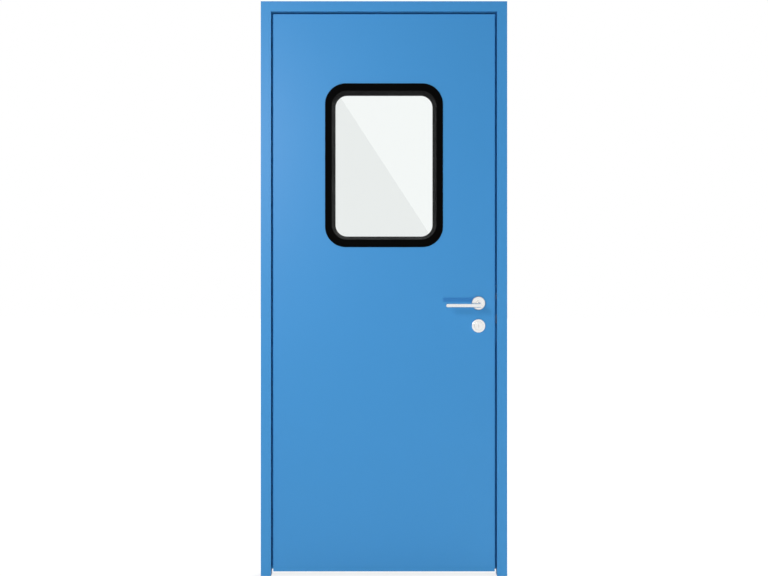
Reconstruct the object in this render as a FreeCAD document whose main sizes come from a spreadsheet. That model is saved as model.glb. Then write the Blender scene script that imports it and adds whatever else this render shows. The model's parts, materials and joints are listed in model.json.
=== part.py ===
import FreeCAD, Part
import math
import os
import Sketcher

# Steel utility door in its block frame, seen from the push side, millimetres.
# X runs from the hinge jamb's wall face to the lock side, Y from the push side to the
# pull side and Z up from the floor. The origin lies on the hinge jamb's wall face.

doc = FreeCAD.newDocument("UtilityDoor")
sheet = doc.addObject("Spreadsheet::Sheet", "Sizes")

# Driving sizes
DRIVING = {
    # frame
    "frame_width": 900,
    "frame_height": 2100,
    "frame_depth": 62,
    "frame_face": 37,
    "frame_steel": 1.5,
    "rebate_width": 15,
    "seal_space": 5,
    "fixing_hole_radius": 5.25,
    "fixing_end_distance": 150,
    # leaf
    "leaf_thickness": 50,
    "lip_thickness": 15,
    "edge_gap": 7,
    "floor_gap": 14,
    "skin_steel": 1,
    # seals
    "seal_width": 7,
    "seal_inset": 0.5,
    "seal_base": 1.4,
    "seal_crown": 2,
    "contact_gap": 0.3,
    # bottom channel and its drop seal
    "channel_height": 40,
    "channel_steel": 1.5,
    "carrier_width": 16,
    "carrier_height": 34,
    "carrier_wall": 2,
    "drop_seal_height": 20,
    # window
    "window_width": 432,
    "window_height": 600,
    "window_centre_drop": 598,
    "window_corner": 76,
    "window_rim": 25,
    "window_rail_extra": 3,
    "window_rim_steel": 3,
    "window_splay": 12.5,
    "window_splay_corner": 43,
    "window_splay_steel": 2,
    "collar_inset": 16,
    "glass_thickness": 6,
    "glass_bite": 9,
    "gasket_width": 8,
    "gasket_thickness": 3,
    # hinges
    "hinge_length": 100,
    "hinge_plate": 2.5,
    "hinge_plate_depth": 14,
    "knuckle_radius": 7,
    "knuckle_gap": 0.4,
    "knuckle_standoff": 1,
    "pin_radius": 3.5,
    "pin_clearance": 0.05,
    "pin_length": 36,
    "lower_hinge_height": 250,
    "upper_hinge_drop": 250,
    # lock
    "handle_height": 997,
    "cylinder_drop": 83,
    "backset": 60,
    "case_height": 170,
    "case_above": 50,
    "case_thickness": 15,
    "case_depth": 88,
    "forend_height": 235,
    "forend_width": 22,
    "forend_steel": 3,
    "latch_height": 20,
    "latch_width": 12,
    "latch_length": 30,
    "dead_bolt_height": 30,
    "dead_bolt_length": 34,
    "bolt_clearance": 0.3,
    "strike_height": 220,
    "strike_width": 22,
    "strike_play": 1.2,
    "strike_box_wall": 1,
    "strike_box_depth": 24,
    # furniture
    "rose_radius": 25,
    "rose_thickness": 8,
    "rose_edge": 1.5,
    "neck_radius": 9,
    "neck_clearance": 0.05,
    "neck_length": 14,
    "bar_radius": 7.5,
    "bar_reach": 121,
    "bar_standoff": 50,
    "bar_drop": 8,
    "bar_tip_bevel": 1.5,
    "spindle_side": 8,
    "spindle_bore_radius": 6.5,
    "cylinder_radius": 15.5,
    "cylinder_clearance": 0.1,
    "cylinder_stand": 1.5,
    "key_slot_width": 2.4,
    "key_slot_height": 10,
    "key_slot_depth": 12,
    "turn_stem_radius": 7,
    "turn_stem_length": 6,
    "turn_width": 32,
    "turn_thickness": 8,
    "turn_depth": 16,
    "turn_bevel": 2.5,
}

for row, (alias, value) in enumerate(DRIVING.items(), start=1):
    sheet.set("A%d" % row, alias.replace("_", " "))
    sheet.set("B%d" % row, str(value))
    sheet.setAlias("B%d" % row, alias)
doc.recompute()


class Size:
    """A length that knows its value and the formula that ties it to the sheet."""

    def __init__(self, value, formula):
        self.value = value
        self.formula = formula

    def __add__(self, other):
        other = as_size(other)
        return Size(self.value + other.value, "(%s + %s)" % (self.formula, other.formula))

    def __sub__(self, other):
        other = as_size(other)
        return Size(self.value - other.value, "(%s - %s)" % (self.formula, other.formula))

    def __mul__(self, other):
        other = as_size(other)
        return Size(self.value * other.value, "(%s * %s)" % (self.formula, other.formula))

    def __truediv__(self, other):
        other = as_size(other)
        return Size(self.value / other.value, "(%s / %s)" % (self.formula, other.formula))

    def __neg__(self):
        return Size(-self.value, "(0 - %s)" % self.formula)


def as_size(number):
    if isinstance(number, Size):
        return number
    return Size(float(number), repr(float(number)))


def size(alias):
    return Size(float(getattr(sheet, alias)), "Sizes." + alias)


# Sketches and features

PLANE_NORMAL = {"XY_Plane": 1, "XZ_Plane": -1, "YZ_Plane": 1}


def new_body(label):
    body = doc.addObject("PartDesign::Body", label)
    body.Label = label
    return body


def new_sketch(body, role, start):
    """A sketch on one of the body's origin planes, moved along +X, +Y or +Z to start."""
    sketch = body.newObject("Sketcher::SketchObject", body.Label + "_sketch")
    plane = next(item for item in body.Origin.OriginFeatures if item.Role == role)
    sketch.AttachmentSupport = [(plane, "")]
    sketch.MapMode = "FlatFace"
    offset = as_size(start) * PLANE_NORMAL[role]
    sketch.setExpression("AttachmentOffset.Base.z", offset.formula)
    return sketch


def place(sketch, geometry, point, x, y):
    """Tie one point of a sketch element to its distances from the sketch's origin."""
    for kind, distance in (("DistanceX", x), ("DistanceY", y)):
        if distance is None:
            continue
        distance = as_size(distance)
        index = sketch.addConstraint(Sketcher.Constraint(kind, -1, 1, geometry, point, distance.value))
        sketch.setExpression("Constraints[%d]" % index, distance.formula)


def polygon(sketch, points):
    """A closed outline of straight lines through the given points."""
    points = [(as_size(x), as_size(y)) for x, y in points]
    corners = [FreeCAD.Vector(x.value, y.value, 0) for x, y in points]
    count = len(corners)
    lines = []
    for index in range(count):
        edge = Part.LineSegment(corners[index], corners[(index + 1) % count])
        lines.append(sketch.addGeometry(edge))
    for index in range(count):
        following = lines[(index + 1) % count]
        sketch.addConstraint(Sketcher.Constraint("Coincident", lines[index], 2, following, 1))
    for index in range(count):
        place(sketch, lines[index], 1, points[index][0], points[index][1])


def rectangle(sketch, left, low, right, high):
    polygon(sketch, [(left, low), (right, low), (right, high), (left, high)])


def circle(sketch, x, y, radius):
    centre = FreeCAD.Vector(as_size(x).value, as_size(y).value, 0)
    ring = sketch.addGeometry(Part.Circle(centre, FreeCAD.Vector(0, 0, 1), radius.value))
    place(sketch, ring, 3, x, y)
    index = sketch.addConstraint(Sketcher.Constraint("Radius", ring, radius.value))
    sketch.setExpression("Constraints[%d]" % index, radius.formula)


def rounded_rectangle(sketch, left, low, right, high, corner):
    """Four lines joined by four tangent arcs of one radius."""
    x0, y0, x1, y1, r = (as_size(item).value for item in (left, low, right, high, corner))
    vector = FreeCAD.Vector
    sides = [
        Part.LineSegment(vector(x0 + r, y0, 0), vector(x1 - r, y0, 0)),
        Part.LineSegment(vector(x1, y0 + r, 0), vector(x1, y1 - r, 0)),
        Part.LineSegment(vector(x1 - r, y1, 0), vector(x0 + r, y1, 0)),
        Part.LineSegment(vector(x0, y1 - r, 0), vector(x0, y0 + r, 0)),
    ]
    centres = [(x1 - r, y0 + r), (x1 - r, y1 - r), (x0 + r, y1 - r), (x0 + r, y0 + r)]
    lines = [sketch.addGeometry(side) for side in sides]
    arcs = []
    for turn, (cx, cy) in enumerate(centres):
        ring = Part.Circle(vector(cx, cy, 0), vector(0, 0, 1), r)
        begin = (turn - 1) * math.pi / 2
        arcs.append(sketch.addGeometry(Part.ArcOfCircle(ring, begin, begin + math.pi / 2)))
    for turn in range(4):
        sketch.addConstraint(Sketcher.Constraint("Tangent", lines[turn], 2, arcs[turn], 1))
        sketch.addConstraint(Sketcher.Constraint("Tangent", arcs[turn], 2, lines[(turn + 1) % 4], 1))
    sketch.addConstraint(Sketcher.Constraint("Horizontal", lines[0]))
    sketch.addConstraint(Sketcher.Constraint("Vertical", lines[1]))
    sketch.addConstraint(Sketcher.Constraint("Horizontal", lines[2]))
    sketch.addConstraint(Sketcher.Constraint("Vertical", lines[3]))
    for arc in arcs[1:]:
        sketch.addConstraint(Sketcher.Constraint("Equal", arcs[0], arc))
    index = sketch.addConstraint(Sketcher.Constraint("Radius", arcs[0], r))
    sketch.setExpression("Constraints[%d]" % index, as_size(corner).formula)
    place(sketch, lines[0], 1, None, low)
    place(sketch, lines[1], 1, right, None)
    place(sketch, lines[2], 1, None, high)
    place(sketch, lines[3], 1, left, None)


def extrude(body, role, start, length, draw, *outline):
    """Pad an outline along +X, +Y or +Z from the plane at start."""
    sketch = new_sketch(body, role, start)
    draw(sketch, *outline)
    pad = body.newObject("PartDesign::Pad", body.Label + "_pad")
    pad.Profile = sketch
    pad.setExpression("Length", as_size(length).formula)
    pad.Reversed = PLANE_NORMAL[role] < 0
    sketch.Visibility = False
    return pad


def cut(body, role, start, length, draw, *outline):
    """Pocket an outline along +X, +Y or +Z from the plane at start."""
    sketch = new_sketch(body, role, start)
    draw(sketch, *outline)
    pocket = body.newObject("PartDesign::Pocket", body.Label + "_pocket")
    pocket.Profile = sketch
    pocket.setExpression("Length", as_size(length).formula)
    pocket.Reversed = PLANE_NORMAL[role] > 0
    return pocket


def join_apart(label, bodies):
    """Several like pieces that don't touch, kept as the solids of one node."""
    node = doc.addObject("Part::Compound", label)
    node.Label = label
    node.Links = bodies
    return node


# Places worked out from the driving sizes

width = size("frame_width")
height = size("frame_height")
face = size("frame_face")
frame_steel = size("frame_steel")
edge_gap = size("edge_gap")
skin = size("skin_steel")
contact = size("contact_gap")

front_y = -size("frame_depth") / 2
back_y = size("frame_depth") / 2
lip_y = back_y - size("lip_thickness")
step_y = lip_y - size("seal_space")
push_y = back_y - size("leaf_thickness")
middle_y = (push_y + back_y) / 2
lock_y = (push_y + lip_y) / 2

rear_face = face - size("rebate_width")
leaf_left = face + edge_gap
leaf_right = width - leaf_left
leaf_top = height - leaf_left
leaf_bottom = size("floor_gap")
lip_left = rear_face + edge_gap
lip_right = width - lip_left
lip_top = height - lip_left

hinge_x = rear_face + edge_gap / 2
hinge_y = back_y + size("knuckle_standoff") + size("knuckle_radius")
lock_x = leaf_right - size("backset")
handle_z = size("handle_height")
cylinder_z = handle_z - size("cylinder_drop")
mitre_margin = 2
TOLERANCE = 0.001
FIXINGS = 4


# Frame

def frame_section(inset):
    """The stepped section as (distance from the wall side, Y), inset by a sheet."""
    return [
        (as_size(inset), front_y + inset),
        (face - inset, front_y + inset),
        (face - inset, step_y - inset),
        (rear_face - inset, step_y - inset),
        (rear_face - inset, back_y - inset),
        (as_size(inset), back_y - inset),
    ]


def jamb(label, mirrored):
    """A hollow stepped jamb, mitred at the head."""
    def across(x):
        return width - x if mirrored else x

    body = new_body(label)
    outer = [(across(x), y) for x, y in frame_section(as_size(0))]
    inner = [(across(x), y) for x, y in frame_section(frame_steel)]
    extrude(body, "XY_Plane", 0, height, polygon, outer)
    cut(body, "XY_Plane", 0, height, polygon, inner)
    mitre = [
        (across(as_size(0)), height),
        (across(face), height - face),
        (across(face + mitre_margin), height - face),
        (across(face + mitre_margin), height + mitre_margin),
        (across(as_size(0)), height + mitre_margin),
    ]
    cut(body, "XZ_Plane", front_y - mitre_margin, size("frame_depth") + 2 * mitre_margin, polygon, mitre)
    fixing_y = (step_y + back_y) / 2
    rear_start = width - rear_face if mirrored else as_size(0)
    first_z = size("fixing_end_distance")
    pitch = (height - first_z * 2) / (FIXINGS - 1)
    for step in range(FIXINGS):
        fixing_z = first_z + pitch * step
        cut(body, "YZ_Plane", rear_start, rear_face, circle, fixing_y, fixing_z, size("fixing_hole_radius"))
    if mirrored:
        cut(body, "YZ_Plane", width - face, frame_steel, rectangle, *strike_outline)
    return body


def head_rail():
    """The head has the jambs' section, laid flat and mitred at both ends."""
    body = new_body("head_rail")
    outer = [(y, height - x) for x, y in frame_section(as_size(0))]
    inner = [(y, height - x) for x, y in frame_section(frame_steel)]
    extrude(body, "YZ_Plane", 0, width, polygon, outer)
    cut(body, "YZ_Plane", 0, width, polygon, inner)
    for mirrored in (False, True):
        def across(x):
            return width - x if mirrored else x
        mitre = [
            (across(as_size(0)), height),
            (across(face), height - face),
            (across(face), height - face - mitre_margin),
            (across(as_size(-mitre_margin)), height - face - mitre_margin),
            (across(as_size(-mitre_margin)), height),
        ]
        start = front_y - mitre_margin
        cut(body, "XZ_Plane", start, size("frame_depth") + 2 * mitre_margin, polygon, mitre)
    return body


seal_near = lip_left + size("seal_inset")
seal_far = seal_near + size("seal_width")
seal_top = height - seal_far - contact
seal_crown_y = lip_y - contact


def seal_profile(near, far):
    """A flat base that tapers to a narrow crown, as points of across and depth."""
    base_y = step_y + size("seal_base")
    half_crown = size("seal_crown") / 2
    centre = (near + far) / 2
    crown = [(centre + half_crown, seal_crown_y), (centre - half_crown, seal_crown_y)]
    return [(near, step_y), (far, step_y), (far, base_y)] + crown + [(near, base_y)]


def jamb_seal(label, mirrored):
    """The rubber in the step that the leaf's lip closes on."""
    near, far = (width - seal_far, width - seal_near) if mirrored else (seal_near, seal_far)
    body = new_body(label)
    extrude(body, "XY_Plane", leaf_bottom, seal_top - leaf_bottom, polygon, seal_profile(near, far))
    return body


def head_seal():
    """The same rubber along the head, between the outer sides of the jambs' seals."""
    body = new_body("head_seal")
    points = [(y, z) for z, y in seal_profile(height - seal_far, height - seal_near)]
    extrude(body, "YZ_Plane", seal_near, width - seal_near * 2, polygon, points)
    return body


# Leaf

window_x = width / 2
window_z = height - size("window_centre_drop")
half_window_width = size("window_width") / 2
half_window_height = size("window_height") / 2


def window_box(inset, extra=0):
    """The window's outline as a plain rectangle, set in from its outer edge."""
    half_wide = half_window_width - inset
    half_high = half_window_height - inset - extra
    return window_x - half_wide, window_z - half_high, window_x + half_wide, window_z + half_high


def window_outline(sketch, inset, corner, extra=0):
    """The window's rounded outline, set in a little further at the top and bottom."""
    rounded_rectangle(sketch, *window_box(inset, extra), corner)


collar_inset = size("collar_inset")
collar_corner = size("window_corner") - collar_inset
opening_inset = size("window_rim") + size("window_splay")
opening_corner = size("window_splay_corner")

case_back_x = leaf_right - size("case_depth")
case_low = handle_z + size("case_above") - size("case_height")
case_left_y = lock_y - size("case_thickness") / 2
forend_low = handle_z + size("case_above") - size("case_height") / 2 - size("forend_height") / 2
forend_left_y = lock_y - size("forend_width") / 2
forend_right_y = forend_left_y + size("forend_width")
forend_outline = (forend_left_y, forend_low, forend_right_y, forend_low + size("forend_height"))
forend_x = leaf_right - skin - size("forend_steel")
neck_bore = size("neck_radius") + size("neck_clearance")


def lock_holes(body, start, length):
    """The round holes of the lever and of the cylinder through a skin."""
    cut(body, "XZ_Plane", start, length, circle, lock_x, handle_z, neck_bore)
    cut(body, "XZ_Plane", start, length, circle, lock_x, cylinder_z, cylinder_bore)


def push_skin():
    """A pan with the window hole, its three edges folded back to the lip."""
    body = new_body("push_skin")
    depth = lip_y - push_y
    extrude(body, "XZ_Plane", push_y, depth, rectangle, leaf_left, leaf_bottom, leaf_right, leaf_top)
    inner = (leaf_left + skin, leaf_bottom - mitre_margin, leaf_right - skin, leaf_top - skin)
    cut(body, "XZ_Plane", push_y + skin, depth, rectangle, *inner)
    cut(body, "XZ_Plane", push_y, skin, window_outline, collar_inset, collar_corner)
    lock_holes(body, push_y, skin)
    cut(body, "YZ_Plane", leaf_right - skin, skin, rectangle, *forend_outline)
    return body


def pull_skin():
    """A wider pan whose folded lip stands past the leaf on three sides."""
    body = new_body("pull_skin")
    thickness = size("lip_thickness")
    extrude(body, "XZ_Plane", lip_y, thickness, rectangle, lip_left, leaf_bottom, lip_right, lip_top)
    low = leaf_bottom - mitre_margin
    hollow = (lip_left + skin, low, lip_right - skin, lip_top - skin)
    cut(body, "XZ_Plane", lip_y + skin, thickness - skin * 2, rectangle, *hollow)
    mouth = (leaf_left + skin, low, leaf_right - skin, leaf_top - skin)
    cut(body, "XZ_Plane", lip_y, skin, rectangle, *mouth)
    cut(body, "XZ_Plane", back_y - skin, skin, window_outline, collar_inset, collar_corner)
    lock_holes(body, back_y - skin, skin)
    return body


core_low = leaf_bottom + size("channel_height")


def leaf_core():
    """The board glued between the skins, cut out for the window and the lock."""
    body = new_body("leaf_core")
    start = push_y + skin
    thickness = size("leaf_thickness") - skin * 2
    board = (leaf_left + skin, core_low, leaf_right - skin, leaf_top - skin)
    extrude(body, "XZ_Plane", start, thickness, rectangle, *board)
    cut(body, "XZ_Plane", start, thickness, rectangle, *window_box(collar_inset))
    case_right = leaf_right - skin
    case_high = case_low + size("case_height")
    recess = (case_back_x, case_low, case_right, case_high)
    cut(body, "XZ_Plane", case_left_y, size("case_thickness"), rectangle, *recess)
    cut(body, "YZ_Plane", forend_x, size("forend_steel"), rectangle, *forend_outline)
    for centre_z, bore in ((handle_z, neck_bore), (cylinder_z, cylinder_bore)):
        square = (lock_x - bore, centre_z - bore, lock_x + bore, centre_z + bore)
        cut(body, "XZ_Plane", start, thickness, rectangle, *square)
    return body


def bottom_channel():
    """An inverted steel channel that closes the leaf's foot."""
    body = new_body("bottom_channel")
    left = leaf_left + skin
    length = leaf_right - skin - left
    low_y = push_y + skin
    high_y = back_y - skin
    steel = size("channel_steel")
    extrude(body, "YZ_Plane", left, length, rectangle, low_y, leaf_bottom, high_y, core_low)
    inside = (low_y + steel, leaf_bottom - mitre_margin, high_y - steel, core_low - steel)
    cut(body, "YZ_Plane", left, length, rectangle, *inside)
    return body


carrier_top = core_low - size("channel_steel")
carrier_low = carrier_top - size("carrier_height")


def drop_seal_carrier():
    """The aluminium carrier of the automatic bottom seal, hung under the channel's web."""
    body = new_body("drop_seal_carrier")
    left = leaf_left + skin
    length = leaf_right - skin - left
    half = size("carrier_width") / 2
    wall = size("carrier_wall")
    outer = (middle_y - half, carrier_low, middle_y + half, carrier_top)
    extrude(body, "YZ_Plane", left, length, rectangle, *outer)
    inside = (middle_y - half + wall, carrier_low - mitre_margin, middle_y + half - wall, carrier_top - wall)
    cut(body, "YZ_Plane", left, length, rectangle, *inside)
    return body


def drop_seal_strip():
    """The seal's rubber, drawn up until it ends level with its carrier."""
    body = new_body("drop_seal_strip")
    left = leaf_left + skin
    length = leaf_right - skin - left
    half = size("carrier_width") / 2 - size("carrier_wall") - contact
    top = carrier_low + size("drop_seal_height")
    extrude(body, "YZ_Plane", left, length, rectangle, middle_y - half, carrier_low, middle_y + half, top)
    return body


half_glass = size("glass_thickness") / 2
gasket = size("gasket_thickness")
glass_inset = opening_inset - size("glass_bite")


def splayed(body, kind, plane_y, outward, inset, corner, depth, slope):
    """Pad or pocket the window's outline so that it widens on its way out of the leaf."""
    sketch = new_sketch(body, "XZ_Plane", plane_y)
    window_outline(sketch, inset, corner, size("window_rail_extra"))
    feature = body.newObject(kind, body.Label + "_splay")
    feature.Profile = sketch
    feature.setExpression("Length", depth.formula)
    feature.setExpression("TaperAngle", slope)
    pads_back = kind == "PartDesign::Pad" and outward > 0
    cuts_forward = kind == "PartDesign::Pocket" and outward < 0
    feature.Reversed = pads_back or cuts_forward
    return feature


def window_frame(label, skin_y, outward):
    """A folded steel frame: a flat rim on the skin, a splay and a foot on the gasket."""
    body = new_body(label)
    rim = size("window_rim_steel")
    steel = size("window_splay_steel")
    foot_y = middle_y + (half_glass + gasket) * outward
    rim_y = skin_y + rim * outward
    depth = (rim_y - foot_y) * outward
    slope = "atan(%s / %s)" % (size("window_splay").formula, depth.formula)
    rim_start = rim_y if outward < 0 else skin_y
    foot_start = foot_y - steel if outward < 0 else foot_y
    extrude(body, "XZ_Plane", foot_start, steel, rectangle, *window_box(glass_inset))
    wall_inset = opening_inset - steel
    wall_corner = opening_corner + steel
    splayed(body, "PartDesign::Pad", foot_y, outward, wall_inset, wall_corner, depth, slope)
    extrude(body, "XZ_Plane", rim_start, rim, window_outline, as_size(0), size("window_corner"))
    splayed(body, "PartDesign::Pocket", foot_y, outward, opening_inset, opening_corner, depth, slope)
    return body


def window_glass():
    body = new_body("window_glass")
    start = middle_y - half_glass
    extrude(body, "XZ_Plane", start, half_glass * 2, rectangle, *window_box(glass_inset))
    return body


def glass_gasket(label, start):
    """A rubber ring between the glass and a window frame."""
    body = new_body(label)
    extrude(body, "XZ_Plane", start, gasket, rectangle, *window_box(glass_inset))
    inner_inset = glass_inset + size("gasket_width")
    inner_corner = opening_corner + opening_inset - inner_inset
    extra = size("window_rail_extra")
    cut(body, "XZ_Plane", start, gasket, window_outline, inner_inset, inner_corner, extra)
    return body


# Lock

cylinder_bore = size("cylinder_radius") + size("cylinder_clearance")
latch_z = handle_z + size("case_above") / 2
dead_bolt_z = cylinder_z + size("case_above") / 2
BOLTS = (
    ("latch_bolt", latch_z, size("latch_height"), size("latch_length")),
    ("dead_bolt", dead_bolt_z, size("dead_bolt_height"), size("dead_bolt_length")),
)


def bolt_outline(centre_z, bolt_height, play):
    """A bolt's section as a rectangle in the leaf's edge."""
    half_high = bolt_height / 2 + play
    half_wide = size("latch_width") / 2 + play
    return lock_y - half_wide, centre_z - half_high, lock_y + half_wide, centre_z + half_high


def lock_case():
    """The mortice case, bored for the spindle and for the cylinder."""
    body = new_body("lock_case")
    high = case_low + size("case_height")
    depth = size("case_thickness")
    extrude(body, "XZ_Plane", case_left_y, depth, rectangle, case_back_x, case_low, forend_x, high)
    cut(body, "XZ_Plane", case_left_y, depth, circle, lock_x, handle_z, size("spindle_bore_radius"))
    cut(body, "XZ_Plane", case_left_y, depth, circle, lock_x, cylinder_z, cylinder_bore)
    for label, centre_z, bolt_height, bolt_length in BOLTS:
        outline = bolt_outline(centre_z, bolt_height, size("bolt_clearance"))
        cut(body, "YZ_Plane", forend_x - bolt_length, bolt_length, rectangle, *outline)
    return body


def lock_forend():
    """The face plate in the leaf's edge, with a hole for each bolt."""
    body = new_body("lock_forend")
    plate = leaf_right - forend_x
    extrude(body, "YZ_Plane", forend_x, plate, rectangle, *forend_outline)
    for label, centre_z, bolt_height, bolt_length in BOLTS:
        outline = bolt_outline(centre_z, bolt_height, size("bolt_clearance"))
        cut(body, "YZ_Plane", forend_x, plate, rectangle, *outline)
    return body


def lock_bolt(label, centre_z, bolt_height, bolt_length):
    """A bolt, drawn in until it ends flush with the face plate."""
    body = new_body(label)
    start = forend_x - bolt_length
    outline = bolt_outline(centre_z, bolt_height, as_size(0))
    extrude(body, "YZ_Plane", start, leaf_right - start, rectangle, *outline)
    return body


strike_low = handle_z + size("case_above") - size("case_height") / 2 - size("strike_height") / 2
strike_outline = (
    lock_y - size("strike_width") / 2,
    strike_low,
    lock_y + size("strike_width") / 2,
    strike_low + size("strike_height"),
)
strike_hole_play = size("bolt_clearance") + size("strike_play")


def strike_plate():
    """The strike plate, flush in the lock jamb's return, with a hole for each bolt."""
    body = new_body("strike_plate")
    extrude(body, "YZ_Plane", width - face, frame_steel, rectangle, *strike_outline)
    for label, centre_z, bolt_height, bolt_length in BOLTS:
        outline = bolt_outline(centre_z, bolt_height, strike_hole_play)
        cut(body, "YZ_Plane", width - face, frame_steel, rectangle, *outline)
    return body


def strike_box():
    """A thin steel box behind the strike plate, open towards the leaf."""
    body = new_body("strike_box")
    wall = size("strike_box_wall")
    left, low, right, high = bolt_outline(dead_bolt_z, size("dead_bolt_height"), strike_hole_play)
    high = bolt_outline(latch_z, size("latch_height"), strike_hole_play)[3]
    start = width - face + frame_steel
    depth = size("strike_box_depth")
    extrude(body, "YZ_Plane", start, depth, rectangle, left - wall, low - wall, right + wall, high + wall)
    cut(body, "YZ_Plane", start, depth - wall, rectangle, left, low, right, high)
    return body


# Lever and cylinder furniture

def span(skin_y, outward, near, far):
    """The start and length along Y between two distances out from a skin."""
    low = skin_y - far if outward < 0 else skin_y + near
    return low, far - near


def rose(label, skin_y, outward, bore, centre_z):
    """A round plate on the skin, with a small bevel round its outer edge."""
    body = new_body(label)
    start, thickness = span(skin_y, outward, as_size(0), size("rose_thickness"))
    extrude(body, "XZ_Plane", start, thickness, circle, lock_x, centre_z, size("rose_radius"))
    cut(body, "XZ_Plane", start, thickness, circle, lock_x, centre_z, bore)
    outer_y = skin_y + size("rose_thickness") * outward
    edges = round_edges(body, outer_y, size("rose_radius"))
    bevel(body, "PartDesign::Chamfer", "Size", edges, size("rose_edge"))
    return body


def roses(side, skin_y, outward):
    """The lever's rose and the cylinder's below it."""
    return [
        rose(side + "_lever_rose", skin_y, outward, neck_bore, handle_z),
        rose(side + "_cylinder_rose", skin_y, outward, cylinder_bore, cylinder_z),
    ]


def round_edges(body, plane_y, radius):
    """The names of the full circles of one radius that lie in one plane across Y."""
    doc.recompute()
    names = []
    for number, edge in enumerate(body.Shape.Edges, start=1):
        box = edge.BoundBox
        flat = abs(box.YMin - plane_y.value) < TOLERANCE and abs(box.YMax - plane_y.value) < TOLERANCE
        if flat and isinstance(edge.Curve, Part.Circle):
            if abs(edge.Curve.Radius - radius.value) < TOLERANCE:
                names.append("Edge%d" % number)
    return names


def bevel(body, kind, setting, edges, amount):
    """Chamfer or fillet the named edges of the body's last feature."""
    base = body.Tip
    feature = body.newObject(kind, body.Label + "_edge")
    feature.Base = (base, edges)
    feature.setExpression(setting, amount.formula)
    return feature


def lever(label, skin_y, outward):
    """A round neck in the rose and a mitred bar, set a little below the neck."""
    body = new_body(label)
    neck_out = size("rose_thickness") + size("neck_length")
    start, length = span(skin_y, outward, as_size(0), neck_out)
    extrude(body, "XZ_Plane", start, length, circle, lock_x, handle_z, size("neck_radius"))
    rise = size("bar_standoff") - neck_out + size("bar_radius")
    root_y = skin_y + (neck_out - size("bar_radius")) * outward
    drop = size("bar_drop")
    slope = "atan(%s / %s)" % (drop.formula, rise.formula)
    reach = Size(math.hypot(rise.value, drop.value), "sqrt(%s^2 + %s^2)" % (rise.formula, drop.formula))

    # both sketches start with any turn about X, which the slope's formula then sets
    any_turn = FreeCAD.Rotation(FreeCAD.Vector(1, 0, 0), 10)
    route = body.newObject("Sketcher::SketchObject", label + "_route")
    section = body.newObject("Sketcher::SketchObject", label + "_section")
    for sketch, role in ((route, "XY_Plane"), (section, "XZ_Plane")):
        plane = next(item for item in body.Origin.OriginFeatures if item.Role == role)
        sketch.AttachmentSupport = [(plane, "")]
        sketch.MapMode = "FlatFace"
        sketch.AttachmentOffset = FreeCAD.Placement(FreeCAD.Vector(), any_turn)
        sketch.setExpression("AttachmentOffset.Base.x", lock_x.formula)
    route.setExpression("AttachmentOffset.Base.y", root_y.formula)
    route.setExpression("AttachmentOffset.Base.z", handle_z.formula)
    section.setExpression("AttachmentOffset.Base.y", handle_z.formula)
    section.setExpression("AttachmentOffset.Base.z", (-root_y).formula)
    turn = "180 deg + " + slope if outward < 0 else "-" + slope
    route.setExpression("AttachmentOffset.Rotation.Angle", turn)
    section.setExpression("AttachmentOffset.Rotation.Angle", slope if outward < 0 else "-" + slope)

    bar = size("bar_reach")
    corner = FreeCAD.Vector(0, reach.value, 0)
    neck_line = route.addGeometry(Part.LineSegment(FreeCAD.Vector(), corner))
    bar_line = route.addGeometry(Part.LineSegment(corner, FreeCAD.Vector(-bar.value, reach.value, 0)))
    route.addConstraint(Sketcher.Constraint("Coincident", neck_line, 1, -1, 1))
    route.addConstraint(Sketcher.Constraint("Vertical", neck_line))
    route.addConstraint(Sketcher.Constraint("Coincident", neck_line, 2, bar_line, 1))
    route.addConstraint(Sketcher.Constraint("Horizontal", bar_line))
    place(route, bar_line, 2, -bar, reach)
    circle(section, as_size(0), as_size(0), size("bar_radius"))

    pipe = body.newObject("PartDesign::AdditivePipe", label + "_bar")
    pipe.Profile = section
    pipe.Spine = (route, ["Edge1", "Edge2"])
    pipe.Transition = "Right corner"
    doc.recompute()
    tip_x = (lock_x - bar).value
    ends = []
    for number, edge in enumerate(body.Shape.Edges, start=1):
        box = edge.BoundBox
        if abs(box.XMin - tip_x) < TOLERANCE and abs(box.XMax - tip_x) < TOLERANCE:
            ends.append("Edge%d" % number)
    bevel(body, "PartDesign::Chamfer", "Size", ends, size("bar_tip_bevel"))
    return body


def lever_spindle():
    """The square bar through the case that joins the two necks."""
    body = new_body("lever_spindle")
    half = size("spindle_side") / 2
    square = (lock_x - half, handle_z - half, lock_x + half, handle_z + half)
    extrude(body, "XZ_Plane", push_y, size("leaf_thickness"), rectangle, *square)
    return body


def lock_cylinder():
    """A round cylinder through the leaf, with a key slot on the push side."""
    body = new_body("lock_cylinder")
    stand = size("rose_thickness") + size("cylinder_stand")
    start = push_y - stand
    length = back_y + size("rose_thickness") - start
    extrude(body, "XZ_Plane", start, length, circle, lock_x, cylinder_z, size("cylinder_radius"))
    half_wide = size("key_slot_width") / 2
    half_high = size("key_slot_height") / 2
    slot = (lock_x - half_wide, cylinder_z - half_high, lock_x + half_wide, cylinder_z + half_high)
    cut(body, "XZ_Plane", start, size("key_slot_depth"), rectangle, *slot)
    return body


def thumb_turn():
    """A flat grip with bevelled corners on a short stem, on the pull side."""
    body = new_body("thumb_turn")
    base_y = back_y + size("rose_thickness")
    stem = size("turn_stem_length")
    extrude(body, "XZ_Plane", base_y, stem, circle, lock_x, cylinder_z, size("turn_stem_radius"))
    half_wide = size("turn_width") / 2
    half_high = size("turn_thickness") / 2
    bevel_size = size("turn_bevel")
    outline = []
    for side, level in ((-1, -1), (1, -1), (1, 1), (-1, 1)):
        corner_x = lock_x + half_wide * side
        corner_z = cylinder_z + half_high * level
        points = [(corner_x, corner_z - bevel_size * level), (corner_x - bevel_size * side, corner_z)]
        outline += points if side == level else points[::-1]
    extrude(body, "XZ_Plane", base_y + stem, size("turn_depth"), polygon, outline)
    return body


# Hinges

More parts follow.
